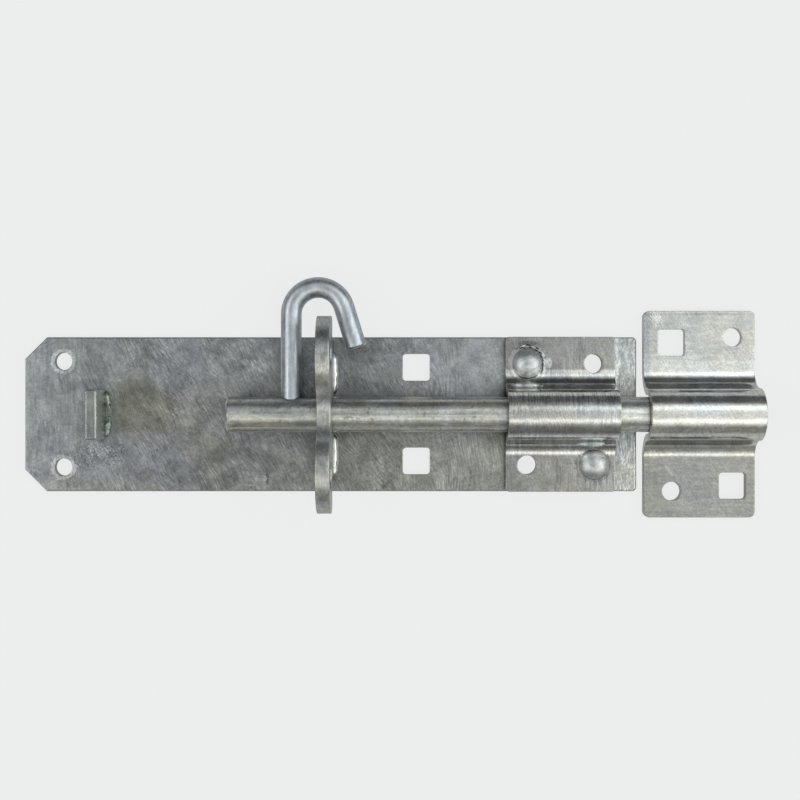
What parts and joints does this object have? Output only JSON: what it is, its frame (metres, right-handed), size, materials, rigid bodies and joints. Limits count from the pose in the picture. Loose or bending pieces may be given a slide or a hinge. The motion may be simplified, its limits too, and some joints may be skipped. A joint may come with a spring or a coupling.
{
  "type": "padbolt",
  "caption": "Galvanised padbolt: a round bar with a hooked handle slides through an eared padlock plate and a riveted guide on a long back plate into a separate receiver.",
  "frame": {"origin": "centre of the back plate's back face", "axes": "+X along the bar to its nose, +Y up on a door, +Z out of the door"},
  "size_m": [0.3032, 0.0991, 0.039],
  "materials": {
    "galvanised_plate": "hot-dip zinc, wiped",
    "galvanised_lug": "hot-dip zinc",
    "galvanised_stop": "hot-dip zinc",
    "galvanised_keep": "hot-dip zinc",
    "galvanised_rivet": "bright zinc",
    "galvanised_bar": "hot-dip zinc",
    "galvanised_rod": "bright zinc",
    "galvanised_receiver": "hot-dip zinc"
  },
  "bodies": {
    "plate": {"back_plate": "galvanised_plate", "padlock_plate": "galvanised_lug", "bolt_stop": "galvanised_stop", "guide_keep": "galvanised_keep", "guide_rivets": "galvanised_rivet", "receiver_keep": "galvanised_receiver"},
    "bolt": {"bolt_bar": "galvanised_bar"},
    "handle": {"hook_handle": "galvanised_rod"}
  },
  "joints": [
    {"name": "bolt_slide", "type": "slide", "parent": "plate", "child": "bolt", "axis": [1, 0, 0], "range_m": [-0.0511, 0.007]},
    {"name": "handle_turn", "type": "hinge", "parent": "bolt", "child": "handle", "pos_m": [0, 0, 0.01055], "axis": [1, 0, 0], "range_deg": [-5, 185]}
  ]
}
